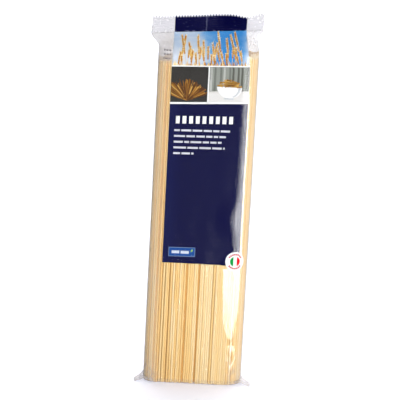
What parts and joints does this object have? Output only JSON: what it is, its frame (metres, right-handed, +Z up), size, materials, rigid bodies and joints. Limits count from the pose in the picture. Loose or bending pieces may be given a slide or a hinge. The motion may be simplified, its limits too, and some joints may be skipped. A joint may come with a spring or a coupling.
{
  "type": "pasta packet",
  "caption": "Tall clear film bag of long dry pasta, standing on its folded end, with a crimped top seal and a printed front panel.",
  "frame": {"origin": "middle of the flat foot that the packet stands on", "axes": "+Z up along the strands, -Y towards the printed front, +X to the right of the front"},
  "size_m": [0.09, 0.0234, 0.2855],
  "materials": {
    "dry_pasta": "satin dry durum wheat pasta seen through tight clear film",
    "clear_film": "glossy clear polypropylene film, milky where it is crimped",
    "printed_film": "glossy film with an opaque dark blue print and plain coloured shapes"
  },
  "bodies": {
    "root": {"film_bag": "dry_pasta"}
  },
  "joints": []
}
